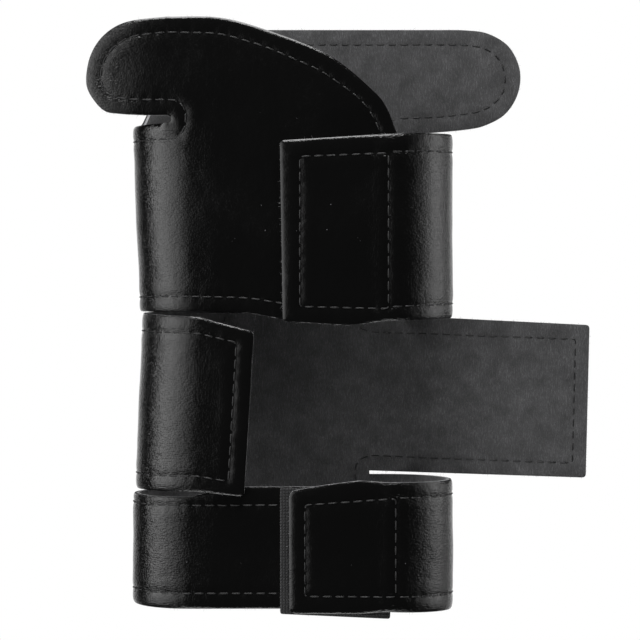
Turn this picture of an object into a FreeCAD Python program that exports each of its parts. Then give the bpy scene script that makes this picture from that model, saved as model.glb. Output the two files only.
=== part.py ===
"""Wrist guard: a wrap-around cuff of coated synthetic leather lined with felt.

One laminated sheet, 2.2 mm thick, is folded round the forearm. A flat back wall carries wings on both
sides at three levels. The upper left wing is the palm panel, whose top runs out into a thumb fin. The
lower left wing ends in a loop tape. The upper and lower right wings are tabs that close over them, the
middle left wing is a tab that closes over the middle strap, and a hand strap leaves the top right corner.

Frame, in millimetres: origin at the centre of the forearm opening, level with the lowest rim. +Z runs
along the forearm to the fingers, -Y is the palm side where the tabs close, +X is the strap side.
"""

import FreeCAD, Part
import math
import os

V = FreeCAD.Vector

# the laminate, and what is sewn to it
SKIN = 1.0          # coated leather
LINING = 1.2        # felt
SHEET = SKIN + LINING
HOOK_THICK = 1.0
LOOP_THICK = 0.8
SPLINT_THICK = 0.7
THREAD_PROUD = 0.3
THREAD_WIDTH = 0.6
SEAM_INSET = 4.6    # from the cut edge to the thread

# the section of the cuff
HALF_WIDTH = 49.5
BACK_FACE = 20.0            # outer face of the back wall
PANEL_FACE = -18.0          # outer face of the palm panel and the lower front panel
LEFT_TAB_FACE = -20.5       # outer face of the middle tab, which lies over the lower front panel
RIGHT_TAB_FACE = -22.5      # outer face of the right tabs, which lie over panel, loop and hook
MIDDLE_FOLD_INSET = 0.9     # the cuff is a little narrower at the wrist

# levels along the forearm
TOP = 182.5                 # top of the back wall and hand strap
HAND_SLIT = (148.6, 149.6)  # right: upper tab below it, hand strap above
PANEL_TOP = 149.3           # left: top of the upper fold, under the thumb notch
PALM_FOOT = 92.4            # left: foot of the upper wing
TAB_BAND = (38.2, 91.6)     # left: middle tab
STRAP_BAND = (42.0, 90.9)   # right: middle strap at its root
UPPER_FOOT = 92.4           # right: foot of the upper tab at the back
LOWER_TOP_RIGHT = 40.8
LOWER_TOP_LEFT = 36.6
FRONT_RIM = 3.0             # the palm side of the rim stands this far above the back
RIGHT_RIM = 1.5

# the hinge lines, where each flap starts. A flap that bends on a short line has a round nose on it
HINGE_GAP = 0.3
THUMB_HINGE = -40.0
HAND_HINGE = 37.0
NOSE_GAP = SHEET / 2 + HINGE_GAP    # from such a hinge line to the panel's edge


class Fold:
    """A half-round fold between the back wall and a front layer whose outer face is at front_face."""

    def __init__(self, side, front_face, inset=0.0):
        self.side = side
        self.radius = (BACK_FACE - front_face) / 2
        self.y = (BACK_FACE + front_face) / 2
        self.x = side * (HALF_WIDTH - inset - self.radius)

    def shell(self, depth_out, depth_in, side_wire):
        """Half tube between two depths under the outer face, cut to a wire whose XZ plane is YZ here."""
        height = TOP + 20
        outer = Part.makeCylinder(self.radius - depth_out, height, V(self.x, self.y, -10))
        inner = Part.makeCylinder(self.radius - depth_in, height, V(self.x, self.y, -10))
        reach = 2 * HALF_WIDTH
        half = Part.makeBox(reach, reach, height, V(0, self.y - reach / 2, -10))
        half.translate(V(self.x if self.side > 0 else self.x - reach, 0, 0))
        face = Part.Face(side_wire)
        face.rotate(V(0, 0, 0), V(0, 0, 1), 90)
        face.translate(V(-reach, 0, 0))
        prism = face.extrude(V(2 * reach, 0, 0))
        return outer.cut(inner).common(half).common(prism)


PANEL_FOLD = Fold(-1, PANEL_FACE)
TAB_FOLD = Fold(-1, LEFT_TAB_FACE, MIDDLE_FOLD_INSET)
RIGHT_FOLD = Fold(1, RIGHT_TAB_FACE)


def rounded(points, radii):
    """Closed wire in the XZ plane through (x, z) corners, each rounded by its own radius."""
    corners = [V(x, 0, z) for x, z in points]
    edges, last, first = [], None, None
    for i, corner in enumerate(corners):
        before = corners[i - 1] - corner
        after = corners[(i + 1) % len(corners)] - corner
        before.normalize()
        after.normalize()
        radius = radii[i] if isinstance(radii, (list, tuple)) else radii
        if radius > 0:
            half = before.getAngle(after) / 2
            cut = radius / math.tan(half)
            bisector = before + after
            bisector.normalize()
            middle = corner + bisector * (radius / math.sin(half) - radius)
            start, end = corner + before * cut, corner + after * cut
        else:
            start = end = corner
        if last is not None:
            edges.append(Part.LineSegment(last, start).toShape())
        if radius > 0:
            edges.append(Part.Arc(start, middle, end).toShape())
        first = first or start
        last = end
    edges.append(Part.LineSegment(last, first).toShape())
    return Part.Wire(edges)


def spline(points):
    """Smooth edge in the XZ plane through (x, z) points."""
    curve = Part.BSplineCurve()
    curve.interpolate([V(x, 0, z) for x, z in points])
    return curve.toShape()


def straight(*points):
    """Straight edges in the XZ plane through (x, z) points."""
    ends = [V(x, 0, z) for x, z in points]
    return [Part.LineSegment(a, b).toShape() for a, b in zip(ends, ends[1:])]


def ribbon(points, width=THREAD_WIDTH):
    """Closed wire of a narrow strip that follows (x, z) points: straight for two, smooth for more."""
    sides = [[], []]
    for i, (x, z) in enumerate(points):
        before, after = points[max(i - 1, 0)], points[min(i + 1, len(points) - 1)]
        along = V(after[0] - before[0], 0, after[1] - before[1])
        along.normalize()
        for side, sign in zip(sides, (1, -1)):
            side.append((x - sign * along.z * width / 2, z + sign * along.x * width / 2))
    edge = spline if len(points) > 2 else (lambda ends: straight(*ends)[0])
    one, other = edge(sides[0]), edge(sides[1][::-1])
    caps = straight(sides[0][-1], sides[1][-1]) + straight(sides[1][0], sides[0][0])
    return Part.Wire([one, caps[0], other, caps[1]])


def plate(wire, outer_face, depth_out, depth_in):
    """Flat plate of an XZ outline, between two depths under an outer face that looks along +Y or -Y."""
    inwards = -1 if outer_face > 0 else 1
    face = Part.Face(wire)
    face.translate(V(0, outer_face + inwards * depth_out, 0))
    return face.extrude(V(0, inwards * (depth_in - depth_out), 0))


def export(name, shape):
    """Writes one node."""
    shape = shape.removeSplitter()
    shape.exportStep(f"parts/{name}.step")
    solids = len(shape.Solids)
    print(f"{name:26s} {solids} solid(s) {shape.Volume / 1000:8.3f} cm3 valid {shape.isValid()}")


def laminate(name, wire, outer_face, pocket=None):
    """Skin and lining of one flat panel. A pocket is cut into the lining's skin side for a splint."""
    export(f"{name}_skin", plate(wire, outer_face, 0, SKIN))
    lining = plate(wire, outer_face, SKIN, SHEET)
    if pocket is not None:
        lining = lining.cut(plate(pocket, outer_face, SKIN, SKIN + SPLINT_THICK))
    export(f"{name}_lining", lining)


def flap_laminate(name, wire, outer_face, hinge, z_span, root_side):
    """Skin and lining of a flap with a round nose along its hinge line, on its root side (-1 or 1)."""
    inwards = -1 if outer_face > 0 else 1
    nose = Part.makeCylinder(SHEET / 2, z_span[1] - z_span[0],
                             V(hinge, outer_face + inwards * SHEET / 2, z_span[0]))
    ends = sorted((hinge, hinge + root_side * SHEET))
    window = rounded([(ends[0], 0), (ends[1], 0), (ends[1], TOP + 1), (ends[0], TOP + 1)], 0)
    for layer, near, far in (("skin", 0, SKIN), ("lining", SKIN, SHEET)):
        half = nose.common(plate(window, outer_face, near, far))
        export(f"{name}_{layer}", plate(wire, outer_face, near, far).fuse(half))


def fold_laminate(name, fold, side_wire):
    """Skin and lining of one fold."""
    export(f"{name}_skin", fold.shell(0, SKIN, side_wire))
    export(f"{name}_lining", fold.shell(SKIN, SHEET, side_wire))


def thread(wire, outer_face):
    """Thread of one seam line on a flat panel, standing a little proud of its outer face."""
    return plate(wire, outer_face, -THREAD_PROUD, 0)


def thread_ring(points, outer_face):
    """Thread sewn round a closed outline of (x, z) corners."""
    middle = V(sum(x for x, z in points) / len(points), 0, sum(z for x, z in points) / len(points))
    shrunk = []
    for x, z in points:
        inwards = middle - V(x, 0, z)
        shrunk.append((x + math.copysign(THREAD_WIDTH, inwards.x),
                       z + math.copysign(THREAD_WIDTH, inwards.z)))
    return thread(rounded(points, 0.8), outer_face).cut(thread(rounded(shrunk, 0.2), outer_face))


def fold_thread(fold, points):
    """Thread of one seam line round a fold, through (y, z) points."""
    return fold.shell(-THREAD_PROUD, 0, ribbon(points))


def seam(name, threads):
    """One node of all the threads sewn through one panel."""
    export(f"{name}_seam", threads[0].multiFuse(threads[1:]) if len(threads) > 1 else threads[0])


# back wall, with the stepped sides where the wings leave it

def back_wall():
    left, middle_left, right = PANEL_FOLD.x, TAB_FOLD.x, RIGHT_FOLD.x
    slit = 4.0  # how far each slit runs on into the back wall
    outline = [
        (left, 0), (right, 0), (right, LOWER_TOP_RIGHT),
        (right - slit, LOWER_TOP_RIGHT), (right - slit, STRAP_BAND[0]),
        (right - HINGE_GAP, STRAP_BAND[0]), (right - HINGE_GAP, STRAP_BAND[1]),
        (right - slit, STRAP_BAND[1]), (right - slit, UPPER_FOOT), (right, UPPER_FOOT),
        (right, HAND_SLIT[0]), (HAND_HINGE - NOSE_GAP, HAND_SLIT[1]),
        (HAND_HINGE - NOSE_GAP, TOP), (left, TOP),
        (left, PALM_FOOT), (left + slit, PALM_FOOT), (left + slit, TAB_BAND[1]),
        (middle_left, TAB_BAND[1]), (middle_left, TAB_BAND[0]),
        (left + slit, TAB_BAND[0]), (left + slit, LOWER_TOP_LEFT), (left, LOWER_TOP_LEFT),
    ]
    pocket = rounded([(-10, 15), (10, 15), (10, 165), (-10, 165)], 6.0)
    radii = [12.0 if corner == (left, TOP) else 0 for corner in outline]
    laminate("back", rounded(outline, radii), BACK_FACE, pocket)
    export("back_splint", plate(pocket, BACK_FACE, SKIN, SKIN + SPLINT_THICK))
    top, foot = TOP - SEAM_INSET, SEAM_INSET
    seam("back", [
        thread(ribbon([(-18, top), (HAND_HINGE - NOSE_GAP, top)]), BACK_FACE),
        thread(ribbon([(left, foot), (right, foot)]), BACK_FACE),
    ])


# upper left wing: fold, palm panel and thumb fin

def upper_left_wing():
    thumb_cut = [(BACK_FACE + 1, 160.8), (18.0, 160.0), (13.2, 157.2), (11.2, 154.6), (10.0, 152.8),
                 (8.4, 151.1), (5.0, 149.9), (-1.0, 149.5), (PANEL_FACE - 1, PANEL_TOP)]
    side = Part.Wire([spline(thumb_cut)] + straight(
        thumb_cut[-1], (PANEL_FACE - 1, PALM_FOOT), (BACK_FACE + 1, PALM_FOOT), thumb_cut[0]))
    fold_laminate("upper_left_fold", PANEL_FOLD, side)

    split = THUMB_HINGE + NOSE_GAP
    notch_end, notch_foot, fin_foot = -37.2, 149.4, 151.8
    crown = spline([(31.8, 145.9), (28.7, 153.7), (24.5, 159.1), (11.6, 169.5), (-6.5, 177.0),
                    (-21.6, 181.1), (split, 181.4)])
    sides = straight((split, 181.4), (split, fin_foot), (notch_end, fin_foot),
                     (notch_end, notch_foot), (PANEL_FOLD.x, notch_foot), (PANEL_FOLD.x, PALM_FOOT),
                     (-12.6, 92.0), (-2.6, 90.2), (31.0, 90.4), (31.8, 145.9))
    pocket = rounded([(-28.5, 98), (26, 98), (26, 145), (-28.5, 145)], 5.0)
    laminate("palm_panel", Part.Wire([crown] + sides), PANEL_FACE, pocket)
    export("palm_splint", plate(pocket, PANEL_FACE, SKIN, SKIN + SPLINT_THICK))

    seam_turn = [(split, 156.2), (-36.4, 156.0), (-33.4, 153.6), (-32.6, 149.6), (-31.6, 146.2),
                 (PANEL_FOLD.x, 144.7)]
    under_tab = (26.4, 148.0)
    seam("upper_left", [
        thread(ribbon([(split, 176.8), (-21.6, 176.5), (-8.3, 172.6), (8.8, 165.4), (20.6, 156.6),
                       under_tab]), PANEL_FACE),
        thread(ribbon(seam_turn), PANEL_FACE),
        thread(ribbon([(PANEL_FOLD.x, PALM_FOOT + SEAM_INSET), (-3.0, 95.4)]), PANEL_FACE),
        fold_thread(PANEL_FOLD, [(PANEL_FACE, 144.7), (-1.0, 144.9), (5.0, 146.0), (10.5, 148.9),
                                 (14.5, 151.6), (BACK_FACE, 155.0)]),
        fold_thread(PANEL_FOLD, [(PANEL_FACE, PALM_FOOT + SEAM_INSET),
                                 (BACK_FACE, PALM_FOOT + SEAM_INSET)]),
    ])

    loop = rounded([(1.5, 95), (29, 95), (29, 139), (1.5, 139)], 1.5)
    export("palm_loop_patch", plate(loop, PANEL_FACE, -LOOP_THICK, 0))

    fin_edge = spline([(THUMB_HINGE, 181.4), (-48.2, 180.2), (-58.4, 174.3), (-62.3, 162.9),
                       (-57.8, 153.8), (-48.0, 151.9), (THUMB_HINGE, fin_foot)])
    fin = Part.Wire([fin_edge] + straight((THUMB_HINGE, fin_foot), (THUMB_HINGE, 181.4)))
    flap_laminate("thumb_fin", fin, PANEL_FACE, THUMB_HINGE, (fin_foot, 181.4), 1)
    hook = rounded([(-56, 157.5), (-43, 157.5), (-43, 175), (-53, 172.5)], 2.0)
    export("thumb_fin_hook_patch", plate(hook, PANEL_FACE, SHEET, SHEET + HOOK_THICK))
    seam("thumb_fin", [thread(ribbon([
        (THUMB_HINGE, 176.8), (-47.5, 175.4), (-55.0, 170.6), (-57.7, 163.0), (-54.5, 157.9),
        (-47.6, 156.3), (THUMB_HINGE, 156.3)]), PANEL_FACE)])


# middle left wing: the tab that closes over the middle strap

def middle_left_wing():
    front_foot, front_top = 38.5, 90.6
    side = [
        (LEFT_TAB_FACE - 1, front_foot), (BACK_FACE + 1, TAB_BAND[0]),
        (BACK_FACE + 1, TAB_BAND[1]), (LEFT_TAB_FACE - 1, front_top),
    ]
    fold_laminate("middle_left_fold", TAB_FOLD, rounded(side, 0))
    outline = [(TAB_FOLD.x, front_foot), (-14.3, 37.0), (-11.3, 86.4), (TAB_FOLD.x, front_top)]
    laminate("middle_tab", rounded(outline, [0, 1.2, 1.2, 0]), LEFT_TAB_FACE)
    hook = rounded([(-27.3, 43), (-17.8, 43), (-16.8, 82), (-27.3, 84)], 1.0)
    export("middle_hook_patch", plate(hook, LEFT_TAB_FACE, SHEET, SHEET + HOOK_THICK))
    low, high = front_foot + SEAM_INSET, front_top - SEAM_INSET
    corners = [(TAB_FOLD.x, high), (-16.2, 81.9), (-18.9, 41.6), (TAB_FOLD.x, low)]
    seam("middle_tab", [thread(ribbon(list(pair)), LEFT_TAB_FACE)
                        for pair in zip(corners, corners[1:])])
    seam("middle_left_fold", [
        fold_thread(TAB_FOLD, [(LEFT_TAB_FACE, low), (BACK_FACE, TAB_BAND[0] + SEAM_INSET)]),
        fold_thread(TAB_FOLD, [(LEFT_TAB_FACE, high), (BACK_FACE, TAB_BAND[1] - SEAM_INSET)]),
    ])


# lower left wing: fold, lower front panel and the loop tape on its end

def lower_left_wing():
    front_top = LOWER_TOP_LEFT
    side = [
        (PANEL_FACE - 1, FRONT_RIM), (0.0, FRONT_RIM), (12.0, 0.0), (BACK_FACE + 1, 0.0),
        (BACK_FACE + 1, LOWER_TOP_LEFT), (PANEL_FACE - 1, front_top),
    ]
    fold_laminate("lower_left_fold", PANEL_FOLD, rounded(side, [0, 4.0, 4.0, 0, 0, 0]))
    outline = [(PANEL_FOLD.x, FRONT_RIM), (8.0, FRONT_RIM), (8.0, 39.7), (-19.0, 39.7),
               (PANEL_FOLD.x, front_top)]
    laminate("lower_front", rounded(outline, 0), PANEL_FACE)
    tape = rounded([(-3.5, 1.4), (29.6, 0.0), (30.4, 37.8), (-3.5, 39.6)], 0.4)
    export("lower_loop_tape", plate(tape, PANEL_FACE, -LOOP_THICK, 0))
    foot, top = FRONT_RIM + SEAM_INSET, front_top - SEAM_INSET
    seam("lower_left", [
        thread(ribbon([(PANEL_FOLD.x, foot), (-3.8, foot)]), PANEL_FACE),
        thread(ribbon([(PANEL_FOLD.x, top), (-22, 33.2), (-14, 34.6), (-3.8, 34.9)]), PANEL_FACE),
        fold_thread(PANEL_FOLD, [(PANEL_FACE, foot), (-4.0, foot), (6.0, foot - 1), (14.0, SEAM_INSET),
                                 (BACK_FACE, SEAM_INSET)]),
        fold_thread(PANEL_FOLD, [(PANEL_FACE, top), (BACK_FACE, LOWER_TOP_LEFT - SEAM_INSET)]),
    ])


# right wings: upper tab, middle strap, lower tab, and the hand strap above them

def right_tab(name, back_levels, front_levels, tab_outline, corner, hook_outline):
    side = [
        (RIGHT_TAB_FACE, front_levels[0]), (BACK_FACE, back_levels[0]),
        (BACK_FACE, back_levels[1]), (RIGHT_TAB_FACE, front_levels[1]),
    ]
    fold_laminate(f"{name}_right_fold", RIGHT_FOLD, rounded(side, 0))
    laminate(f"{name}_tab", rounded(tab_outline, [0, corner, corner, 0]), RIGHT_TAB_FACE)
    hook = rounded(hook_outline, 1.0)
    export(f"{name}_hook_patch", plate(hook, RIGHT_TAB_FACE, SHEET, SHEET + HOOK_THICK))
    low, high = front_levels[0] + SEAM_INSET, front_levels[1] - SEAM_INSET
    end = tab_outline[1][0] + SEAM_INSET
    line = RIGHT_FOLD.x - 0.4   # the rectangle's far side, along the edge of the hook patch
    seam(f"{name}_tab", [
        thread_ring([(end, low), (line, low), (line, high - 0.8), (end, high - 0.8)], RIGHT_TAB_FACE),
        thread(ribbon([(line, low), (RIGHT_FOLD.x, low)]), RIGHT_TAB_FACE),
        thread(ribbon([(line, high - 0.8), (RIGHT_FOLD.x, high)]), RIGHT_TAB_FACE),
    ])
    seam(f"{name}_right_fold", [
        fold_thread(RIGHT_FOLD, [(RIGHT_TAB_FACE, low), (BACK_FACE, back_levels[0] + SEAM_INSET)]),
        fold_thread(RIGHT_FOLD, [(RIGHT_TAB_FACE, high), (BACK_FACE, back_levels[1] - SEAM_INSET)]),
    ])


def right_wings():
    x = RIGHT_FOLD.x
    right_tab(
        "upper", (UPPER_FOOT, HAND_SLIT[0]), (89.8, 144.9),
        [(x, 89.8), (-2.6, 89.6), (-3.5, 143.9), (x, 144.9)], 1.2,
        [(2.0, 93.5), (27.8, 93.5), (27.8, 139.3), (2.0, 139.3)],
    )
    right_tab(
        "lower", (0.0, LOWER_TOP_RIGHT), (RIGHT_RIM + 1.0, 41.9),
        [(x, RIGHT_RIM + 1.0), (-0.6, 2.1), (-0.6, 38.9), (x, 41.9)], 2.2,
        [(4.2, 6.8), (27.8, 6.8), (27.8, 35.0), (4.2, 35.0)],
    )

    strap = [(x, STRAP_BAND[0]), (93.3, 39.6), (94.6, 88.4), (x, STRAP_BAND[1])]
    laminate("middle_strap", rounded(strap, [0, 1.0, 1.0, 0]), BACK_FACE)
    loop = rounded([(58, 47.0), (87.5, 46.2), (88.3, 82.6), (58, 83.4)], 1.5)
    export("middle_strap_loop_patch", plate(loop, BACK_FACE, -LOOP_THICK, 0))
    corners = [(x, 86.3), (90.0, 83.9), (89.0, 44.2), (x, 46.6)]
    seam("middle_strap", [thread(ribbon(list(pair)), BACK_FACE) for pair in zip(corners, corners[1:])])

    straight_end = 55.0
    hand_edge = spline([(straight_end, TOP), (62.2, 181.5), (68.7, 177.4), (72.2, 170.0), (71.9, 162.4),
                        (67.8, 155.6), (61.4, 152.0), (straight_end, 150.8)])
    hand = Part.Wire([hand_edge] + straight((straight_end, 150.8), (HAND_HINGE, HAND_SLIT[1]),
                                            (HAND_HINGE, TOP), (straight_end, TOP)))
    flap_laminate("hand_strap", hand, BACK_FACE, HAND_HINGE, (HAND_SLIT[1], TOP), -1)
    loop = rounded([(45, 158), (61, 159), (61, 174), (45, 174.5)], 2.0)
    export("hand_strap_loop_patch", plate(loop, BACK_FACE, -LOOP_THICK, 0))
    seam("hand_strap", [thread(ribbon([
        (HAND_HINGE, TOP - SEAM_INSET), (47, TOP - SEAM_INSET), (55.5, 177.2), (63.6, 174.6),
        (67.7, 167.0), (64.9, 159.4), (56.5, 155.8), (47, 154.8), (HAND_HINGE, 154.4)]), BACK_FACE)])


os.makedirs("parts", exist_ok=True)
back_wall()
upper_left_wing()
middle_left_wing()
lower_left_wing()
right_wings()
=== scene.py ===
# %% [markdown]
# # A wrist guard, sewn from one sheet
#
# A real wrist guard of this kind starts as a flat sheet: glossy coated leather glued to felt. A cutter
# stamps the outline out, a machine sews a line of stitches along every edge, and the wings are bent round
# into a cuff. This lesson builds it in the same order. Every panel is drawn as a flat outline in
# millimetres, meshed flat, and then bent by a formula. Stitches and frayed edges are placed on the flat
# sheet too, so they bend with it; the hook and loop tapes are laid straight onto flat parts.
#
# It fixes where each panel is, and hangs the cuff and the hook and loop patches on their bodies.

# %%
import math

import bpy
import numpy as np
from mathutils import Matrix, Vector
from mathutils.geometry import delaunay_2d_cdt


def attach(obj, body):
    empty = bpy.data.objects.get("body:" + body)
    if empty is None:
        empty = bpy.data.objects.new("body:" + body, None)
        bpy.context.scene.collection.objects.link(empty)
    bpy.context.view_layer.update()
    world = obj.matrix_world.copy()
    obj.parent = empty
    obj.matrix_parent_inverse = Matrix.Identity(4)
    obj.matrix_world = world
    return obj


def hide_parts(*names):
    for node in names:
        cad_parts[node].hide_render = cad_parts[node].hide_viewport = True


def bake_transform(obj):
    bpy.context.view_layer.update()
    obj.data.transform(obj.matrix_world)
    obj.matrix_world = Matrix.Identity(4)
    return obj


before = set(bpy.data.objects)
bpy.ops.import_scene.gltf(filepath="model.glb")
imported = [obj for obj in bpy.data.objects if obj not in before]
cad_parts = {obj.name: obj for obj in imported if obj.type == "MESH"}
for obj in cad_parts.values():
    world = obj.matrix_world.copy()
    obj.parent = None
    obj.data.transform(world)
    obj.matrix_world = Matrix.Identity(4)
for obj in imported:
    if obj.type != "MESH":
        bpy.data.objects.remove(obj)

MM = 0.001
rng = np.random.default_rng(7)
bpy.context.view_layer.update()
print("nodes:", len(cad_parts))

# %% [markdown]
# ## Sizes
#
# The sheet is 2.2 mm thick: 1.0 mm of coated leather on 1.2 mm of felt. Each fold is a half circle between
# the back wall, whose outer face is at y = 20 mm, and a front layer. Three kinds of fold differ in how far
# forward that layer lies, because tabs lie over panels.

# %%
SKIN, LINING = 1.0, 1.2
SHEET = SKIN + LINING
BACK_Y = 20.0
BACK_INSIDE = 17.8          # the felt's face, here and for the layers in front
RIGHT_INSIDE, MID_INSIDE, FIN_INSIDE = -20.3, -18.3, -15.8
TOP = 182.5
STITCH = 3.7                # one stitch, hole to hole
HOLE_GAP = 0.27             # half the gap between two stitches
THREAD_R = 0.24
GRID = 1.35                 # spacing of the mesh on open sheet
LEATHER_CODE, FELT_CODE = "#0b0b0b", "#464647"

FOLDS = {                   # side, radius of the outer face, centre x, centre y
    "panel": (-1, 19.0, -30.5, 1.0),
    "tab": (-1, 20.25, -28.35, -0.25),
    "right": (1, 21.25, 28.25, -1.25),
}
PANEL_FACE, PALM_X = -18.0, -30.5   # the palm panel's face, and the x where it leaves the left fold
WAIST = 2.1                 # how far the left side draws in at the wrist
WAIST_Z, WAIST_WIDTH = 92.0, 34.0
OPEN_Z, OPEN_HEIGHT = 145.5, 6.0    # where the left fold opens out towards the fin
OPEN_ANGLE, OPEN_TURN = 2.55, 0.2   # and from which angle round the fold, in radians

# %% [markdown]
# ## From flat sheet to cuff
#
# A point of the flat sheet has two coordinates: `s`, the distance from the middle of the back wall round
# towards the wing's end, and `z`, the height. `bend` turns them into a point on the outer face and the
# direction that points out of the sheet there. Arc length is kept, so nothing stretches.

# %%
def smooth(t):
    """0 below 0, 1 above 1, and 3t^2 - 2t^3 between."""
    t = np.clip(t, 0, 1)
    return t * t * (3 - 2 * t)


def bend(sz, fold):
    """Points and outward normals of flat points (s, z) on a wing.

    With a = (s - |cx|) / R held between 0 and pi, the arc is x = side (|cx| + R sin a), y = cy + R cos a.
    Before it the sheet is the straight back wall, x = side s, and after it the straight front layer.
    fold None is flat sheet in the back wall's plane."""
    s, z = sz[:, 0], sz[:, 1]
    if fold is None:
        zero = np.zeros_like(s)
        return np.stack([s, zero + BACK_Y, z], 1), np.stack([zero, zero + 1, zero], 1)
    side, radius, cx, cy = FOLDS[fold]
    a = np.clip((s - abs(cx)) / radius, 0, math.pi)
    before = np.minimum(s - abs(cx), 0)
    after = np.maximum(s - abs(cx) - math.pi * radius, 0)
    x = side * (abs(cx) + before + radius * np.sin(a) - after)
    y = cy + radius * np.cos(a)
    nx, ny = side * np.sin(a), np.cos(a)
    if fold == "panel":     # the arc opens out flat where it runs up into the thumb fin
        lift = smooth((z - OPEN_Z) / OPEN_HEIGHT) * smooth((a - OPEN_ANGLE) / OPEN_TURN)
        flat_x = PALM_X - (abs(cx) + math.pi * radius - s)
        x = x + lift * (np.where(a < math.pi, flat_x, x) - x)
        y = y + lift * (cy - radius - y)
        nx, ny = nx * (1 - lift), ny * (1 - lift) - lift
        size = np.hypot(nx, ny)
        nx, ny = nx / size, ny / size
    if side < 0:            # the waist
        draw = WAIST * np.exp(-((z - WAIST_Z) / WAIST_WIDTH) ** 2) * smooth((150 - z) / 8)
        x = x + draw * smooth((-20.0 - x) / 26.0)
    return np.stack([x, y, z], 1), np.stack([nx, ny, np.zeros_like(nx)], 1)


def front(x, fold="panel"):
    """The s of a point at x on the front layer."""
    side, radius, cx, _ = FOLDS[fold]
    return abs(cx) + math.pi * radius + (abs(cx) - side * x)


ARC_END = front(PALM_X)
print(f"the palm wing is {front(31.8) + 24.25:.0f} mm long, laid flat")

# %% [markdown]
# ## Drawing an outline
#
# An outline is a list of corners, each with the radius that rounds it. `outline` walks round it and puts a
# point every 0.9 mm or so. Smooth stretches, such as the crown over the palm, are given as a few
# points that `curve` joins with a Catmull-Rom spline.

# %%
def curve(points, step=1.0):
    """Points along a Catmull-Rom spline through the given (s, z) points, about step apart."""
    p = np.array(points, float)
    p = np.vstack([2 * p[0] - p[1], p, 2 * p[-1] - p[-2]])
    out = []
    for a, b, c, d in zip(p, p[1:], p[2:], p[3:]):
        n = max(2, int(np.hypot(*(c - b)) / step))
        t = np.linspace(0, 1, n, endpoint=False)[:, None]
        out.append(0.5 * (2 * b + (c - a) * t + (2 * a - 5 * b + 4 * c - d) * t**2
                          + (3 * b - a - 3 * c + d) * t**3))
    return np.vstack(out + [p[-2][None]])


def outline(corners, step=0.9):
    """Closed outline as an (n, 2) array. Each corner is (s, z) or (s, z, radius)."""
    pts = np.array([c[:2] for c in corners], float)
    radii = [c[2] if len(c) > 2 else 0.0 for c in corners]
    loop = []
    for i, p in enumerate(pts):
        u, v = pts[i - 1] - p, pts[(i + 1) % len(pts)] - p
        u, v = u / np.hypot(*u), v / np.hypot(*v)
        if radii[i] <= 0:
            loop.append(p[None])
            continue
        half = math.acos(np.clip(u @ v, -1, 1)) / 2
        reach = radii[i] / math.tan(half)
        t = np.linspace(0, 1, max(4, int(radii[i] * 2.2)))[:, None]
        loop.append((1 - t)**2 * (p + u * reach) + 2 * t * (1 - t) * p + t**2 * (p + v * reach))
    return resample(np.vstack(loop), step, closed=True)


def resample(points, step, closed=False):
    """The same line with points at most step apart. The given points stay."""
    ends = np.roll(points, -1, 0) if closed else points[1:]
    starts = points if closed else points[:-1]
    out = []
    for a, b in zip(starts, ends):
        n = max(1, int(np.ceil(np.hypot(*(b - a)) / step)))
        out.append(a + (b - a) * np.linspace(0, 1, n, endpoint=False)[:, None])
    line = np.vstack(out + ([] if closed else [points[-1:]]))
    keep = np.hypot(*(line - np.roll(line, 1, 0)).T) > 1e-4
    return line[keep]


def inside(points, loop):
    """Even-odd test of many points against one closed loop."""
    x, z = points[:, 0][:, None], points[:, 1][:, None]
    a, b = loop, np.roll(loop, -1, 0)
    crosses = (a[:, 1] > z) != (b[:, 1] > z)
    at = a[:, 0] + (z - a[:, 1]) / (b[:, 1] - a[:, 1] + 1e-12) * (b[:, 0] - a[:, 0])
    return (crosses & (x < at)).sum(1) % 2 == 1


def nearest(points, line, closed=False):
    """Distance of each point to a line, and how far along the line the nearest place is."""
    a = line
    b = np.roll(line, -1, 0) if closed else line[1:]
    a = a if closed else a[:-1]
    length = np.hypot(*(b - a).T)
    along = np.concatenate([[0], np.cumsum(length)[:-1]])
    best, where = np.full(len(points), 1e9), np.zeros(len(points))
    for k in range(0, len(a), 64):      # in blocks, so that the table stays small
        d, p = b[k:k + 64] - a[k:k + 64], points[:, None] - a[None, k:k + 64]
        t = np.clip((p * d).sum(2) / (length[k:k + 64]**2 + 1e-12), 0, 1)
        gap = np.hypot(*np.moveaxis(p - t[..., None] * d, 2, 0))
        i = gap.argmin(1)
        r = np.arange(len(points))
        closer = gap[r, i] < best
        best = np.where(closer, gap[r, i], best)
        where = np.where(closer, along[k + i] + t[r, i] * length[k + i], where)
    return best, where


square = outline([(0, 0, 1), (10, 0, 1), (10, 10, 1), (0, 10, 1)])
print("a rounded square:", len(square), "points; holds (5, 5):", inside(np.array([[5.0, 5.0]]), square)[0])

# %% [markdown]
# ## Meshing flat sheet
#
# `cut` fills an outline with points: an even triangular grid, extra rows either side of each stitch line,
# where the sheet puckers, and two rows just inside the cut edge, where it rolls over. Blender's Delaunay
# routine joins them into triangles that follow the outline exactly.

# %%
def offset_rows(line, offsets, step):
    """Copies of a line, each moved sideways by one of the offsets, with points step apart."""
    line = resample(line, step)
    along = np.gradient(line, axis=0)
    along /= np.hypot(*along.T)[:, None] + 1e-9
    across = np.stack([-along[:, 1], along[:, 0]], 1)
    return [line + across * o for o in offsets]


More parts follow.
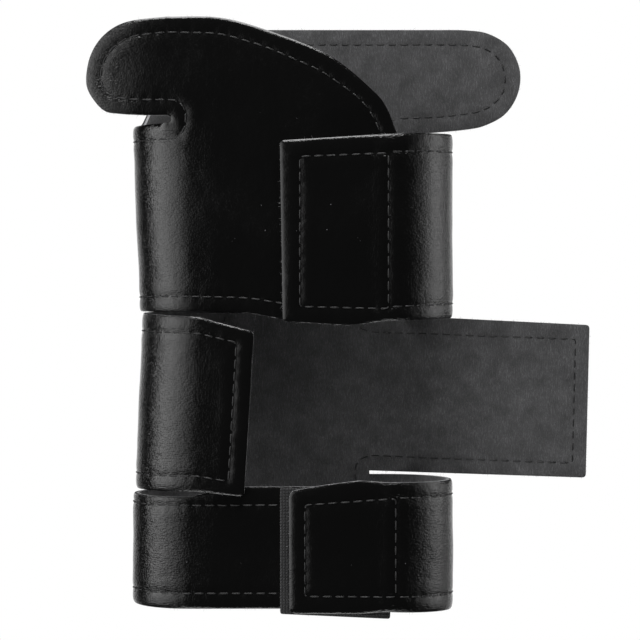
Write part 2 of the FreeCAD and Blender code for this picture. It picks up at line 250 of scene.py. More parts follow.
def cut(loop, seams, spacing=GRID):
    """Flat triangle mesh of an outline: points (n, 2), triangles (m, 3), and the rim's point numbers.

    The grid point of row j and column i is (i + (j odd) / 2, j sqrt(3) / 2) times the spacing."""
    lo, hi = loop.min(0), loop.max(0)
    rows = np.arange(lo[1], hi[1], spacing * 0.866)
    cols = np.arange(lo[0], hi[0], spacing)
    s, z = np.meshgrid(cols, rows)
    s = s + (np.arange(len(rows)) % 2)[:, None] * spacing / 2
    grid = np.stack([s.ravel(), z.ravel()], 1)
    grid = grid[inside(grid, loop)]
    grid = grid[nearest(grid, loop, True)[0] > 1.5]
    close = [grid]
    for line in seams:
        close[0] = close[0][nearest(close[0], line)[0] > 1.75]
        close += offset_rows(line, (-1.2, -0.5, 0.0, 0.5, 1.2), STITCH / 4)
    closed = np.vstack([loop, loop[:1]])
    close += offset_rows(closed, (0.4, 0.95) if area(loop) > 0 else (-0.4, -0.95), 1.0)
    inner = np.vstack(close)
    inner = inner[inside(inner, loop)]
    inner = inner[nearest(inner, loop, True)[0] > 0.3]
    cells = np.round(inner / 0.42).astype(int)          # no two points closer than about 0.4 mm
    inner = inner[np.unique(cells, axis=0, return_index=True)[1]]
    points = np.vstack([loop, inner])
    found = delaunay_2d_cdt([Vector(p) for p in points.tolist()], [], [list(range(len(loop)))], 1, 1e-5)
    flat = np.array([tuple(v) for v in found[0]], float)
    triangles = np.array([f for f in found[2] if len(f) == 3], int)
    place = {old: new for new, olds in enumerate(found[3]) for old in olds}
    rim = np.array([place[i] for i in range(len(loop))])
    return flat, triangles, rim if area(loop) > 0 else rim[::-1]


def area(loop):
    """Signed area of a closed loop, positive when it runs anticlockwise."""
    nxt = np.roll(loop, -1, 0)
    return (loop[:, 0] * nxt[:, 1] - nxt[:, 0] * loop[:, 1]).sum() / 2


def waves(sz, scale, seed):
    """Smooth random height between about -1 and 1: the mean of eight sine waves in random directions."""
    r = np.random.default_rng(seed)
    angle, phase = r.uniform(0, 2 * math.pi, (2, 8))
    size = r.uniform(0.6, 1.6, 8) * 2 * math.pi / scale
    k = np.stack([np.cos(angle) * size, np.sin(angle) * size * 1.5])
    return np.sin(sz @ k + phase).mean(1) * 1.6


def relief(sz, fold, fields, e, seed):
    """How far the outer face stands out from its smooth place, in mm.

    Slow waves, then at a stitch line d mm away a groove -0.26 exp(-(d / 0.8)^2), a little deeper at the
    holes, and a pad 0.09 exp(-((d - 2.8) / 1.5)^2) beside it. At the cut edge e mm away it falls off twice,
    by 0.22 (1 - e / 4.2)^2 over the margin and by 0.25 (1 - e / 0.9)^2 where it rolls over. The waves are
    taken in the main sheet's own coordinates, so that wings meet it without a step."""
    own = sz * [1 if fold in ("panel", "tab", "fin") else -1, 1]
    h = 0.15 * waves(own, 52, seed) + 0.05 * waves(own, 19, seed + 1) + 0.014 * waves(own, 8, seed + 2)
    for d, t in fields:
        beat = np.cos(2 * math.pi * t / STITCH)
        h += -0.26 * np.exp(-(d / 0.8)**2) * (0.84 + 0.16 * beat)
        h += -0.012 * beat * np.exp(-((d - 1.2) / 1.2)**2) + 0.09 * np.exp(-((d - 2.8) / 1.5)**2)
    return h - 0.25 * np.clip(1 - e / 0.9, 0, 1)**2 - 0.22 * np.clip(1 - e / 4.2, 0, 1)**2


demo = cut(outline([(0, 0), (40, 0), (40, 30), (0, 30)]), [np.array([[5.0, 5.0], [35.0, 5.0]])])
print("a 40 by 30 mm panel with one seam:", len(demo[0]), "points,", len(demo[1]), "triangles")

# %% [markdown]
# ## Meshes from arrays
#
# `mesh` makes a Blender object from arrays. It also stores the flat coordinates as a UV map called `sheet`,
# in units of 10 mm, so grain and weave keep one size and follow every bend.

# %%
def mesh(name, points, faces, flat, materials, face_material=None):
    """One object from points in mm, faces as one array or a list of them, and the flat (s, z) of each."""
    faces = faces if isinstance(faces, list) else [faces]
    data = bpy.data.meshes.new(name)
    corners = np.concatenate([f.ravel() for f in faces]).astype(np.int32)
    sizes = np.concatenate([np.full(len(f), f.shape[1]) for f in faces])
    data.vertices.add(len(points))
    data.vertices.foreach_set("co", (points * MM).astype(np.float32).ravel())
    data.loops.add(len(corners))
    data.loops.foreach_set("vertex_index", corners)
    data.polygons.add(len(sizes))
    data.polygons.foreach_set("loop_start", np.concatenate([[0], np.cumsum(sizes)[:-1]]).astype(np.int32))
    data.polygons.foreach_set("use_smooth", np.full(len(sizes), True))
    if face_material is not None:
        data.polygons.foreach_set("material_index", face_material.astype(np.int32))
    uv = data.uv_layers.new(name="sheet")
    uv.data.foreach_set("uv", (flat[corners] / 10).astype(np.float32).ravel())
    data.update(calc_edges=True)
    data.validate()
    for material in materials:
        data.materials.append(material)
    piece = bpy.data.objects.new(name, data)
    bpy.context.scene.collection.objects.link(piece)
    return piece


def shell(name, flat, triangles, rim, fold, top, bottom, face, edge):
    """A closed layer of sheet between two depths, which may differ from point to point.

    Point (s, z) at depth d is P(s, z) - d N(s, z). The rim joins the two faces with quads, split into its
    own points so that the cut edge stays crisp."""
    place, normal = bend_any(flat, fold)
    n = len(flat)
    upper, lower = place - normal * top[:, None], place - normal * bottom[:, None]
    points = np.vstack([upper, lower, upper[rim], lower[rim]])
    sheet_places = np.vstack([flat, flat, flat[rim], flat[rim]])
    turned = fold in FOLDS and FOLDS[fold][0] > 0 or fold is None
    tri = triangles[:, ::-1] if turned else triangles
    a = 2 * n + np.arange(len(rim))
    b = np.roll(a, -1)
    side = np.stack([b, a, a + len(rim), b + len(rim)], 1)
    side = side[:, ::-1] if turned else side
    faces = [tri, tri[:, ::-1] + n, side]
    which = np.concatenate([np.zeros(2 * len(tri)), np.ones(len(side))])
    piece = mesh(name, points, faces, sheet_places, [face, edge], which)
    creased = piece.data.attributes.new("creased", "FLOAT", "POINT")
    creased.data.foreach_set("value", compressed(sheet_places, fold))
    return piece


def compressed(sz, fold):
    """How much the coat is creased, from 0 on a flat to 1 in the middle of a fold, where bending squeezes it.

    It is sin(pi u)^0.6, with u from 0 to 1 from 8 mm before the arc to 8 mm after it, and it ends below the
    fin at z = 152 mm. On the fin it rises to 1 at the tip."""
    if fold == "fin":
        return smooth((F(FIN_EDGE) - sz[:, 0]) / 20.0)
    if fold is None:
        return np.zeros(len(sz))
    _, radius, cx, _ = FOLDS[fold]
    u = (sz[:, 0] - abs(cx) + 8.0) / (math.pi * radius + 16.0)
    return np.sin(math.pi * np.clip(u, 0, 1))**0.6 * smooth((152 - sz[:, 1]) / 7)


def bend_any(sz, fold):
    """`bend`, with one more kind: fin, the sheet in the palm panel's plane left of the fold.

    The fin's tip curls back: y = -18 + 0.006 c^2, where c is how far x is left of -44."""
    if fold != "fin":
        return bend(sz, fold)
    x = PALM_X - (ARC_END - sz[:, 0])
    c = np.maximum(-44.0 - x, 0)
    slope = 0.012 * c
    size = np.sqrt(1 + slope**2)
    return (np.stack([x, PANEL_FACE + 0.006 * c**2, sz[:, 1]], 1),
            np.stack([-slope / size, -1 / size, 0 * x], 1))


print("mesh tools ready")

# %% [markdown]
# ## Materials
#
# Every material is built from the same small parts, so the helper `node` adds one shader node, sets its
# inputs and links what feeds it. `colour` turns a hex code as seen on a screen into Blender's linear values.

# %%
def colour(code):
    """Linear colour of an sRGB hex code."""
    c = np.array([int(code[i:i + 2], 16) for i in (1, 3, 5)]) / 255
    return tuple(np.where(c <= 0.04045, c / 12.92, ((c + 0.055) / 1.055)**2.4)) + (1.0,)


def feed(tree, target, inputs):
    """Sets a node's inputs, from a socket's name or number to a value, or to (node, output) to link."""
    for key, value in inputs.items():
        if isinstance(value, tuple) and isinstance(value[0], bpy.types.Node):
            tree.links.new(value[0].outputs[value[1]], target.inputs[key])
        else:
            target.inputs[key].default_value = value


def node(tree, kind, inputs=None, **settings):
    """Adds a node with these inputs and settings."""
    added = tree.nodes.new(kind)
    for key, value in settings.items():
        setattr(added, key, value)
    feed(tree, added, inputs or {})
    return added


def material(name):
    """A new material, its node tree and its Principled shader."""
    made = bpy.data.materials.new(name)
    made.use_nodes = True
    tree = made.node_tree
    return made, tree, tree.nodes["Principled BSDF"]


def sheet_coordinates(tree, stretch=(1, 1), turn=0.0):
    """The flat sheet's coordinates in mm, stretched and turned about the sheet's normal."""
    uv = node(tree, "ShaderNodeUVMap", uv_map="sheet")
    return node(tree, "ShaderNodeMapping", {"Vector": (uv, "UV"), "Rotation": (0, 0, turn),
                                            "Scale": (10 * stretch[0], 10 * stretch[1], 1)})


def level(tree, source, low, high, out_low=0.0, out_high=1.0):
    """Maps a value from low..high to out_low..out_high, clamped."""
    return node(tree, "ShaderNodeMapRange", {"Value": source, "From Min": low, "From Max": high,
                                             "To Min": out_low, "To Max": out_high})


def noise(tree, at, scale, detail, distortion=0.0):
    """Noise over the coordinates at, with features about 1 / scale mm wide."""
    return node(tree, "ShaderNodeTexNoise", {"Vector": (at, "Vector"), "Scale": scale, "Detail": detail,
                                             "Distortion": distortion})


def maths(tree, operation, a, b=None):
    """One operation on one or two values."""
    return node(tree, "ShaderNodeMath", {0: a} if b is None else {0: a, 1: b}, operation=operation)


def mixed(tree, factor, a, b, blend="MIX"):
    """Two colours, mixed."""
    return node(tree, "ShaderNodeMix", {"Factor": factor, "A": a, "B": b}, data_type="RGBA", blend_type=blend)


def bump(tree, height, strength, distance_mm, under=None):
    """A bump of that height in mm, on top of the bump named in under. strength is a number or a link."""
    inputs = {"Height": height, "Strength": strength, "Distance": distance_mm * MM}
    if under is not None:
        inputs["Normal"] = (under, "Normal")
    return node(tree, "ShaderNodeBump", inputs)


def dress(made, tree, shader, base, under, roughness, ior, sheen=0.0):
    """Gives a material's shader its colour, its last bump and the rest, and returns the material."""
    feed(tree, shader, {"Base Color": base, "Normal": (under, 0), "Roughness": roughness, "IOR": ior,
                        "Sheen Weight": sheen})
    return made


# Coated leather: a polyurethane film embossed with a fine grain and laid on a knit. New, it is near black
# with a clear gloss. The eye sees a smooth face on the flats, pebbles about 0.8 mm across and fine short
# creases where a fold squeezes it, and here and there a fleck of lint.
def coated_leather():
    made, tree, shader = material("coated_leather")
    at = sheet_coordinates(tree)
    squeezed = (node(tree, "ShaderNodeAttribute", attribute_name="creased"), "Fac")
    soft = noise(tree, at, 0.22, 2)
    crease = noise(tree, sheet_coordinates(tree, (0.34, 0.62)), 1.0, 3.0, 0.7)
    ridge = maths(tree, "ABSOLUTE", (maths(tree, "SUBTRACT", (crease, "Fac"), 0.5), 0))
    ridge = level(tree, (ridge, 0), 0.0, 0.035)
    patch = noise(tree, at, 0.045, 1)
    worn = maths(tree, "MULTIPLY", (level(tree, (patch, "Fac"), 0.42, 0.66), 0), 0.20)
    grain = node(tree, "ShaderNodeTexVoronoi", {"Vector": (at, "Vector"), "Scale": 1.25, "Randomness": 0.9},
                 feature="DISTANCE_TO_EDGE")
    pebble = level(tree, (grain, "Distance"), 0.0, 0.22)
    fine = noise(tree, sheet_coordinates(tree, (0.42, 1.4)), 1.7, 4)
    under = bump(tree, (soft, "Fac"), 0.45, 0.35)
    under = bump(tree, (ridge, 0), (worn, 0), 0.05, under)
    under = bump(tree, (pebble, 0), (level(tree, squeezed, 0.0, 1.0, 0.12, 0.36), 0), 0.11, under)
    under = bump(tree, (fine, "Fac"), (level(tree, squeezed, 0.0, 1.0, 0.10, 0.6), 0), 0.34, under)
    rough = level(tree, (patch, "Fac"), 0.3, 0.7, 0.11, 0.18)
    lint = node(tree, "ShaderNodeTexVoronoi", {"Vector": (at, "Vector"), "Scale": 0.16, "Randomness": 1.0})
    fleck = level(tree, (lint, "Distance"), 0.018, 0.026, 1.0, 0.0)
    base = mixed(tree, (fleck, 0), colour(LEATHER_CODE), colour("#77777a"))
    return dress(made, tree, shader, (base, "Result"), under, (rough, 0), 1.5)


# Felt: short polyester fibres pressed into a mat. It is charcoal and quite matt, with a soft bloom where
# fibres catch light from the side, paler and darker fibres mixed, and small tufts.
def felt(name, code, sheen=0.25):
    made, tree, shader = material(name)
    tone = noise(tree, sheet_coordinates(tree), 0.16, 4)
    under, streak = None, None
    for turn, stretch in ((0.3, (4.6, 0.7)), (1.4, (4.2, 0.6)), (2.5, (5.0, 0.8))):
        fibre = noise(tree, sheet_coordinates(tree, stretch, turn), 1.0, 2, 1.2)
        under = bump(tree, (fibre, "Fac"), 0.6, 0.22, under)
        streak = (fibre, "Fac") if streak is None else (maths(tree, "MAXIMUM", streak, (fibre, "Fac")), 0)
    pale = level(tree, streak, 0.56, 0.86)
    shade = level(tree, (tone, "Fac"), 0.3, 0.7, 0.72, 1.25)
    base = mixed(tree, (pale, 0), colour(code), colour("#7c7c7e"))
    base = mixed(tree, 1.0, (base, "Result"), (shade, 0), "MULTIPLY")
    shader.inputs["Sheen Roughness"].default_value = 0.5
    return dress(made, tree, shader, (base, "Result"), under, 0.95, 1.45, sheen)


# Sewing thread: three plies of polyester twisted together. It is black with a soft shine, and the twist
# shows as slanting ridges about 0.5 mm apart.
def thread_material():
    made, tree, shader = material("polyester_thread")
    at = sheet_coordinates(tree, (1, 1), 0.6)
    twist = node(tree, "ShaderNodeTexWave", {"Vector": (at, "Vector"), "Scale": 0.32, "Distortion": 0.4})
    under = bump(tree, (twist, "Fac"), 0.6, 0.06)
    return dress(made, tree, shader, colour("#0d0d0e"), under, 0.45, 1.54)


# Loop tape: a knitted nylon ground brushed up into loops. From a step away it is dull black with a fine
# square grid, one cell each 0.9 mm.
def loop_material():
    made, tree, shader = material("nylon_loop_tape")
    heights = []
    for turn in (0.0, math.pi / 2):
        at = sheet_coordinates(tree, (1, 1), turn)
        heights.append(node(tree, "ShaderNodeTexWave", {"Vector": (at, "Vector"), "Scale": 0.35,
                                                        "Distortion": 1.1, "Detail": 2}))
    both = maths(tree, "MULTIPLY", (heights[0], "Fac"), (heights[1], "Fac"))
    loops = noise(tree, sheet_coordinates(tree), 3.5, 3)
    under = bump(tree, (both, 0), 0.9, 0.25)
    under = bump(tree, (loops, "Fac"), 0.7, 0.12, under)
    base = mixed(tree, (level(tree, (both, 0), 0.0, 0.7), 0), colour("#0c0c0d"), colour("#2b2b2d"))
    return dress(made, tree, shader, (base, "Result"), under, 0.8, 1.53, 0.15)


# Hook tape, the leather's core and the splints. Hooks are stiff nylon thread, cut open at the top. The
# splints are aluminium strip with a mill finish, and are hidden in the lining.
def plain(name, code, roughness, ior, metallic=0.0, grain_mm=1.0, depth_mm=0.05):
    made, tree, shader = material(name)
    at = node(tree, "ShaderNodeTexCoord")
    grain = node(tree, "ShaderNodeTexNoise", {"Vector": (at, "Object"), "Scale": 1000 / grain_mm,
                                              "Detail": 2})
    shader.inputs["Metallic"].default_value = metallic
    return dress(made, tree, shader, colour(code), bump(tree, (grain, "Fac"), 0.5, depth_mm), roughness, ior)


LEATHER = coated_leather()
FELT = felt("polyester_felt", FELT_CODE)
# The frayed edge is the felt again in pale grey with more sheen: a painted highlight for the light that loose
# fibres catch along the cut edges.
FRAYED_PAINTED_HIGHLIGHT = felt("frayed_felt_edge_painted_highlight", "#909092", 0.45)
CORE = plain("leather_core", "#1b1b1c", 0.7, 1.5)
THREAD = thread_material()
LOOPS = loop_material()
HOOKS = plain("nylon_hook_tape", "#121213", 0.55, 1.53)
METAL = plain("aluminium_strip", "#b9bbbd", 0.38, 1.3, 1.0, 0.4, 0.01)
for name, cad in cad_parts.items():        # hidden inner nodes and anything not replaced
    cad.data.materials.clear()
    cad.data.materials.append(METAL if "splint" in name else HOOKS if "hook" in name else
                              LOOPS if "loop" in name else FELT if "lining" in name else CORE)
print("materials:", [m.name for m in bpy.data.materials])

# %% [markdown]
# ## Stitches
#
# A lockstitch shows one short thread between two holes, on both faces of the sheet. Each is a thin capsule
# that comes out of one hole, lies on the sheet and dives into the next. `stitches` lays them along a line
# drawn on the flat sheet, so they bend with it.

# %%
def path(corners, radius=1.6, step=0.6, closed=False):
    """Line through (s, z) corners with its inner corners rounded."""
    p = np.array(corners, float)
    if closed:
        loop = outline([(s, z, radius) for s, z in p], step)
        return np.vstack([loop, loop[:1]])
    out = [p[:1]]
    for a, b, c in zip(p, p[1:], p[2:]):
        u, v = a - b, c - b
        reach = min(radius, np.hypot(*u) / 2, np.hypot(*v) / 2)
        t = np.linspace(0, 1, 6)[:, None]
        start, end = b + u / np.hypot(*u) * reach, b + v / np.hypot(*v) * reach
        out.append((1 - t)**2 * start + 2 * t * (1 - t) * b + t**2 * end)
    return resample(np.vstack(out + [p[-1:]]), step)


def stitches(name, lines, fold):
    """All the stitches along some lines, as one object.

    Stitch k covers t from k p + g to (k + 1) p - g mm, with p the pitch and g the hole gap. At u from 0 to 1
    along it the thread's middle stands 0.30 sin(pi u)^0.6 - 0.40 mm off the waved sheet, and its radius is
    r (1 - (2u - 1)^8)."""
    u = np.linspace(0, 1, 8)
    turn = np.arange(6) * math.pi / 3
    points, flats, faces_made, count = [], [], [], 0
    for line in lines:
        step = np.hypot(*np.diff(line, axis=0).T)
        along = np.concatenate([[0], np.cumsum(step)])
        number = int(along[-1] / STITCH)
        pitch = along[-1] / max(number, 1)
        if number < 1:
            continue
        wobble = rng.normal(0, 0.07, (number, 2))
        t = np.arange(number)[:, None] * pitch + HOLE_GAP + u[None] * (pitch - 2 * HOLE_GAP)
        s, z = (np.interp(t, along, line[:, i]) for i in (0, 1))
        ds = np.gradient(s, axis=1) + wobble[:, :1] * 0.3
        dz = np.gradient(z, axis=1) + wobble[:, 1:] * 0.3
        size = np.hypot(ds, dz) + 1e-9
        across = np.stack([-dz / size, ds / size], 2)
        flat = np.stack([s, z], 2).reshape(-1, 2)
        place, normal = bend_any(flat, fold)
        shifted, _ = bend_any(flat + across.reshape(-1, 2) * 0.05, fold)
        binormal = shifted - place
        binormal /= np.linalg.norm(binormal, axis=1)[:, None] + 1e-12
        for face, out in enumerate((normal, -normal)):      # the coat's face, then the felt's
            waved = (1, 0.55)[face] * relief(flat, fold, [], np.full(len(flat), 9.0), SEED + 50 * face)
            base = place - normal * SHEET * face + out * waved[:, None]
            rise = 0.30 * np.sin(math.pi * u)**0.6 - 0.40
            radius = THREAD_R * np.maximum(1 - np.abs(2 * u - 1)**8, 0.05)
            middle = base + out * np.tile(rise, number)[:, None]
            r = np.tile(radius, number)[:, None, None]
            ring = out[:, None] * np.cos(turn)[None, :, None] \
                + binormal[:, None] * np.sin(turn)[None, :, None]
            points.append((middle[:, None] + r * ring).reshape(-1, 3))
            flats.append(np.repeat(flat, 6, 0))
            k, i, j = np.meshgrid(np.arange(number), np.arange(7), np.arange(6), indexing="ij")
            a = count + (k * 8 + i) * 6 + j
            b = count + (k * 8 + i) * 6 + (j + 1) % 6
            quads = np.stack([a, b, b + 6, a + 6], 3).reshape(-1, 4)
            ends = count + (np.arange(number) * 48)[:, None] + np.arange(6)[None]
            faces_made += [quads, ends[:, ::-1], ends + 42]
            count += number * 48
    quads = [f for f in faces_made if f.shape[1] == 4]
    caps = [f for f in faces_made if f.shape[1] == 6]
    return mesh(name, np.vstack(points), [np.vstack(quads), np.vstack(caps)], np.vstack(flats), [THREAD])


# %% [markdown]
# ## Frayed edges
#
# Where felt is cut, loose fibres stand out of the edge. They catch the light as a thin grey line, which is
# painted into their colour: fibres and cut edge are drawn in a felt far paler than the lining, a painted
# highlight. Each fibre is a three-sided spike that curves once.

# %%
def fray(name, line, fold, per_mm=2.0):
    """Loose fibres along a line of the flat sheet, from the felt's share of its thickness.

    A fibre of length l and direction d from its root p passes p + l d / 2 + b and ends at p + l d + 2.2 b,
    where b is a small random bend."""
    step = np.hypot(*np.diff(line, axis=0).T)
    along = np.concatenate([[0], np.cumsum(step)])
    n = int(along[-1] * per_mm)
    t = np.sort(rng.uniform(0, along[-1], n))
    flat = np.stack([np.interp(t, along, line[:, i]) for i in (0, 1)], 1)
    ahead = np.stack([np.interp(t + 0.2, along, line[:, i]) - np.interp(t - 0.2, along, line[:, i])
                      for i in (0, 1)], 1)
    outwards = np.stack([ahead[:, 1], -ahead[:, 0]], 1)
    outwards /= np.hypot(*outwards.T)[:, None] + 1e-9
    place, normal = bend_any(flat, fold)
    beside, _ = bend_any(flat + outwards * 0.05, fold)
    out = beside - place
    out /= np.linalg.norm(out, axis=1)[:, None] + 1e-12
    root = place - normal * rng.uniform(SKIN, SHEET, n)[:, None] - out * 0.12
    lean = out + rng.normal(0, 0.55, (n, 3))
    lean /= np.linalg.norm(lean, axis=1)[:, None]
    length = rng.gamma(3.0, 0.15, n)[:, None]
    bow = rng.normal(0, 0.13, (n, 3)) * length
    middle, tip = root + lean * length / 2 + bow, root + lean * length + 2.2 * bow
    side_a = np.cross(lean, normal)
    side_a /= np.linalg.norm(side_a, axis=1)[:, None] + 1e-9
    side_b = np.cross(lean, side_a)
    ring = [side_a * math.cos(q) + side_b * math.sin(q) for q in (0, 2.094, 4.189)]
    middle[:, 2], tip[:, 2] = np.maximum(middle[:, 2], 0.06), np.maximum(tip[:, 2], 0.06)
    points = np.stack([root + 0.035 * r for r in ring] + [middle + 0.028 * r for r in ring] + [tip], 1)
    first = np.arange(n)[:, None] * 7
    quads = np.vstack([first + np.array([[i, (i + 1) % 3, 3 + (i + 1) % 3, 3 + i]]) for i in range(3)])
    tips = np.vstack([first + np.array([[3 + i, 3 + (i + 1) % 3, 6]]) for i in range(3)]
                     + [first + np.array([[2, 1, 0]])])
    # the fibres take the pale frayed felt: a painted highlight
    return mesh(name, points.reshape(-1, 3), [quads, tips], np.repeat(flat, 7, 0), [FRAYED_PAINTED_HIGHLIGHT])


print("a fibre has 7 points; a stitch has 48")

# %% [markdown]
# ## The panels, as drawn on the flat sheet
#
# `panel` makes one wing: skin, lining, stitches and fray. A wing given a single body is hung on it; any other
# wing stays where it is built, and its list of body and points is used no further.

# %%
SEED = 11
LAYERS = ("_skin", "_lining", "_seam")


def layers(*names):
    """The engineering nodes of each of these: its skin, its lining and its seam."""
    return [name + layer for name in names for layer in LAYERS]


def free(loop, border):
    """The really cut part of a wing's outline: all of it but the line s = border where it meets the cuff."""
    return loop[loop[:, 0] > border + 0.01]


def panel(name, fold, loop, seams, edges, nodes, motion):
    """Builds one wing. edges are the parts of its outline that are really cut, where it rolls and frays."""
    flat, triangles, rim = cut(loop, seams)
    fields = [nearest(flat, line) for line in seams]
    e = np.min([nearest(flat, line)[0] for line in edges], axis=0)
    h = relief(flat, fold, fields, e, SEED)
    inner = 0.55 * relief(flat, fold, fields, e, SEED + 50)
    full = np.ones(len(flat))
    skin = shell(f"{name}_coat", flat, triangles, rim, fold, -h, full * (SKIN - 0.02), LEATHER, CORE)
    # the felt's cut edge takes the pale frayed felt: a painted highlight along the rim
    lining = shell(f"{name}_felt", flat, triangles, rim, fold, full * SKIN, SHEET + inner, FELT, FRAYED_PAINTED_HIGHLIGHT)
    thread = stitches(f"{name}_stitching", seams, fold)
    pieces = [skin, lining, thread] + [fray(f"{name}_fray_{i}", line, fold) for i, line in enumerate(edges)]
    for piece in pieces:
        if len(motion) == 1:
            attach(piece, motion[0])
        else:
            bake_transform(piece)
    for piece, layer in zip(pieces, LAYERS):
        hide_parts(*[n for n in nodes if n.endswith(layer)])

# %% [markdown]
# ## The main sheet
#
# One outline holds the back wall and both left wings, because they never move apart: the palm wing above,
# which ends in the curved crown, and the lower front wing below. `F` gives the flat coordinate of a place
# on the front, and `A` of a place on a fold.

# %%
def F(x, fold="panel"):
    """Flat s of a place x on a front layer."""
    side, radius, cx, _ = FOLDS[fold]
    if fold == "tab":
        return abs(cx) + math.pi * radius + (x - cx)
    return front(x, fold) if side > 0 else ARC_END + x - PALM_X


def A(y, fold="panel"):
    """Flat s of a place y on a fold."""
    _, radius, cx, cy = FOLDS[fold]
    return abs(cx) + radius * math.acos(np.clip((y - cy) / radius, -1, 1))


def front_xz(points, fold="panel"):
    """(x, z) places on a front layer as flat (s, z)."""
    return [(F(x, fold), z) for x, z in points]


ROOT = 24.25                        # the right wings and the strap are sewn on from here, on the flat back
RIGHT_EDGE = -ROOT
BEND, MID_BEND = 28.25, 28.35       # flat s where the right folds and the middle fold begin
HAND_EDGE = -33.5
FIN_EDGE = -37.8                    # the fin is its own piece left of this line
LEFT_SLIT = 26.5
crown = curve(front_xz([(31.8, 145.9), (28.7, 153.7), (24.5, 159.1), (11.6, 169.5), (-6.5, 177.0),
                        (-21.6, 181.1), (FIN_EDGE, 181.4)]))
thumb_cut = curve([(F(FIN_EDGE) - 1.2, 149.4), (A(-10), 149.4), (A(-1), 149.5), (A(5), 149.9),
                   (A(8.4), 151.1), (A(10), 152.8), (A(11.2), 154.6), (A(13.2), 157.2), (A(18), 160.0),
                   (34.2, 162.4), (31.6, 165.6), (30.4, 170.0),
                   (28.6, 175.6), (24.6, 180.4), (18.5, 182.5)])
notch = curve([(F(FIN_EDGE), 151.8), (F(-36.7), 151.4), (F(-36.3), 150.6), (F(-36.7), 149.8),
               (F(FIN_EDGE) - 1.2, 149.4)], 0.4)
rim_rise = curve([(44.0, 0), (49.0, 0.35), (55.0, 1.9), (61.0, 2.9), (67.0, 3.0)])
edge_palm_foot = resample(np.array([(LEFT_SLIT, 93.3), (40, 93.2), (75, 92.5), (F(-12.6), 92.0),
                                    (F(-2.6), 90.2), (F(31.4), 90.4)]), 0.9)
edge_lower = resample(np.vstack([[(RIGHT_EDGE, 0)], rim_rise, [(F(8), 3.0), (F(8), 39.7), (F(-19), 39.7),
                                 (F(PALM_X), 36.6), (LEFT_SLIT, 36.6)]]), 0.9)
edge_crown = resample(np.vstack([[(F(31.4), 90.4)], crown]), 0.9)
edge_thumb = resample(np.vstack([notch, thumb_cut[1:], [(HAND_EDGE, TOP)]]), 0.9)
main_loop = resample(np.vstack([edge_lower, edge_palm_foot, edge_crown[1:], [(F(FIN_EDGE), 151.8)],
                                edge_thumb[1:], [(HAND_EDGE, 149.1), (RIGHT_EDGE, 148.6)]]), 0.9, closed=True)
main_seams = [
    path([(RIGHT_EDGE, 4.7), (44, 4.7), (55, 6.2), (64, 7.7), (F(-3.7), 7.7)], 3),
    path([(F(-3.7), 34.3), (F(PALM_X), 34.2), (A(0), 34.0), (A(17), 32.0), (27.5, 31.9), (22.3, 33.4),
          (21.4, 37.4), (22.3, 41.4), (LEFT_SLIT, 42.9)]),
    path([(LEFT_SLIT, 86.9), (22.3, 88.2), (21.4, 92.0), (22.3, 95.8), (LEFT_SLIT, 97.1), (F(PALM_X), 97.1),
          (F(-12.6), 96.7), (F(-2.6), 94.9), (F(27.0), 95.1), (F(27.2), 145.0), (F(24.7), 151.4),
          (F(20.6), 156.8), (F(8.8), 165.2), (F(-8.3), 172.5), (F(-21.6), 176.4), (F(FIN_EDGE), 176.7)], 4),
    path([(F(FIN_EDGE), 156.4), (F(-34.6), 156.2), (F(-32.4), 154.2), (F(-31.8), 150.5), (F(-32.6), 146.9),
          (F(-35.4), 144.7), (A(-10), 144.7), (A(-1), 144.9), (A(5), 146.0), (A(10.5), 148.9),
          (A(14.5), 151.6), (37.4, 153.8), (30.8, 156.4), (27.2, 161.0), (25.9, 166.5), (24.8, 171.6),
          (21.8, 175.6), (17.4, 177.8), (HAND_EDGE, 177.8)], 3),
    path([(RIGHT_EDGE, 36.1), (-20.4, 37.6), (-19.4, 41.3), (-20.4, 45.0), (RIGHT_EDGE, 46.7)]),
    path([(RIGHT_EDGE, 86.2), (-20.4, 87.9), (-19.4, 91.6), (-20.4, 95.3), (RIGHT_EDGE, 97.1)]),
    path([(HAND_EDGE, 154.4), (-30.2, 153.0), (-29.0, 149.4)]),
]
panel("cuff", "panel", main_loop, main_seams,
      [edge_lower, np.vstack([edge_palm_foot, edge_crown]), edge_thumb],
      ["back_skin", "back_lining", "back_seam", "upper_left_fold_skin", "upper_left_fold_lining",
       "palm_panel_skin", "palm_panel_lining", "upper_left_seam", "lower_left_fold_skin",
       "lower_left_fold_lining", "lower_front_skin", "lower_front_lining", "lower_left_seam"],
      ["cuff"])

fin_curve = curve(front_xz([(FIN_EDGE, 181.4), (-48.2, 180.2), (-53.9, 178.1), (-58.4, 174.3), (-61.2, 169.2),
                            (-62.3, 162.9), (-61.2, 158.4), (-57.1, 153.4), (-52.7, 152.3), (-44.5, 151.8),
                            (FIN_EDGE, 151.8)]))
fin_seam = curve(front_xz([(FIN_EDGE, 176.7), (-47.4, 175.5), (-53.2, 172.6), (-56.6, 168.2), (-57.6, 163.0),
                           (-56.0, 158.8), (-52.0, 156.9), (-45, 156.4), (FIN_EDGE, 156.4)]), 0.6)
FIN_BEND = ((-0.0383, -0.0169, 0.166), (-0.0440, -0.0169, 0.166))
panel("thumb_fin", "fin", resample(fin_curve, 0.9, closed=True), [fin_seam], [fin_curve],
      layers("thumb_fin"), ["thumb_fin", *FIN_BEND])

# %% [markdown]
# ## The wings that open
#
# The two right tabs and the middle left tab each run round a fold. Each is given its body and two points
# across the fold, at the back wall and at the front layer, which nothing here applies. The straps start flat.

# %%
def fold_blend(body, front_y=RIGHT_INSIDE):
    """The body of a fold and two points across it, at the back wall's inner face and at the front layer's."""
    return [body, (0.0, BACK_INSIDE * MM, 0.0), (0.0, front_y * MM, 0.0)]


def right(x):
    return F(x, "right")


